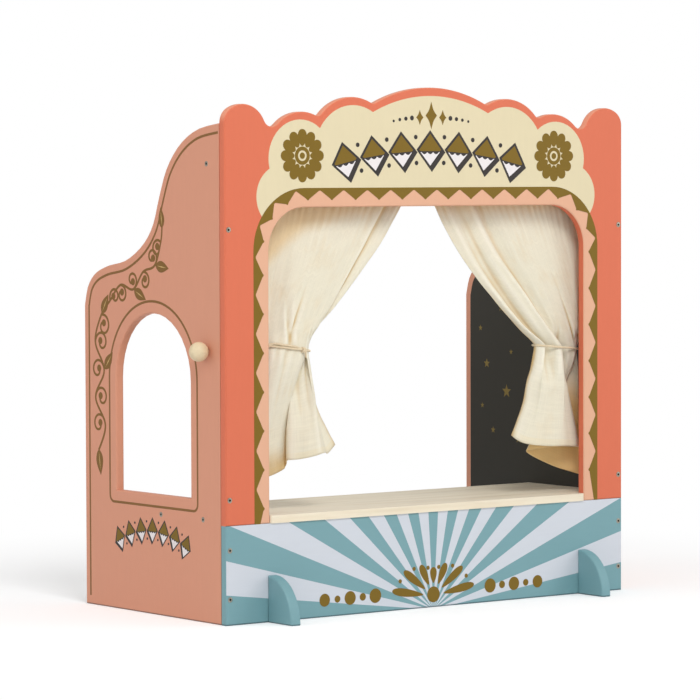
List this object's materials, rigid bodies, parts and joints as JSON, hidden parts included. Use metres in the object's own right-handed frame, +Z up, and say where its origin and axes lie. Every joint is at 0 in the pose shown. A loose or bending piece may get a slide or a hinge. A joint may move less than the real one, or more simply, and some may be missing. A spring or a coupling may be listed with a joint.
{
  "type": "puppet theatre stand",
  "caption": "Wooden tabletop puppet theatre with a scalloped front, stage opening, shelf, tied-back curtains on a rod and an arched ticket window in one side.",
  "frame": {"origin": "under the middle of the whole stand, on the surface that it stands on", "axes": "+X to the right along the front as an audience sees it, +Y from the front to the back, +Z up"},
  "size_m": [0.7106, 0.375, 0.681],
  "materials": {
    "coral_paint": "painted wood board, satin coral with a printed front",
    "blue_paint": "painted wood board, satin grey-blue",
    "salmon_paint": "painted wood board, satin salmon pink",
    "plywood": "clear-lacquered pale plywood",
    "beech": "turned pale beech, clear lacquer",
    "curtain_cotton": "unbleached cotton cloth",
    "cotton_cord": "twisted cotton cord",
    "screw_steel": "zinc-plated steel"
  },
  "bodies": {
    "stand": {"front_upper_panel": "coral_paint", "front_plinth_panel": "blue_paint", "left_side_panel": "salmon_paint", "right_side_panel": "salmon_paint", "stage_shelf": "plywood", "left_foot": "blue_paint", "right_foot": "blue_paint", "curtain_rod": "beech", "left_front_screw_1": "screw_steel", "left_front_screw_2": "screw_steel", "left_plinth_screw_1": "screw_steel", "left_plinth_screw_2": "screw_steel", "left_shelf_screw_1": "screw_steel", "left_shelf_screw_2": "screw_steel", "left_rod_screw": "screw_steel", "left_foot_screw_1": "screw_steel", "left_foot_screw_2": "screw_steel", "right_front_screw_1": "screw_steel", "right_front_screw_2": "screw_steel", "right_plinth_screw_1": "screw_steel", "right_plinth_screw_2": "screw_steel", "right_shelf_screw_1": "screw_steel", "right_shelf_screw_2": "screw_steel", "right_rod_screw": "screw_steel", "right_foot_screw_1": "screw_steel", "right_foot_screw_2": "screw_steel"},
    "left_curtain_set": {"left_curtain": "curtain_cotton", "left_tie_cord": "cotton_cord", "left_pull_ball": "beech"},
    "right_curtain_set": {"right_curtain": "curtain_cotton", "right_tie_cord": "cotton_cord", "right_pull_ball": "beech"}
  },
  "joints": [
    {"name": "left_curtain_slide", "type": "slide", "parent": "stand", "child": "left_curtain_set", "axis": [-1, 0, 0], "range_m": [0, 0.03]},
    {"name": "right_curtain_slide", "type": "slide", "parent": "stand", "child": "right_curtain_set", "axis": [1, 0, 0], "range_m": [0, 0.03]}
  ]
}
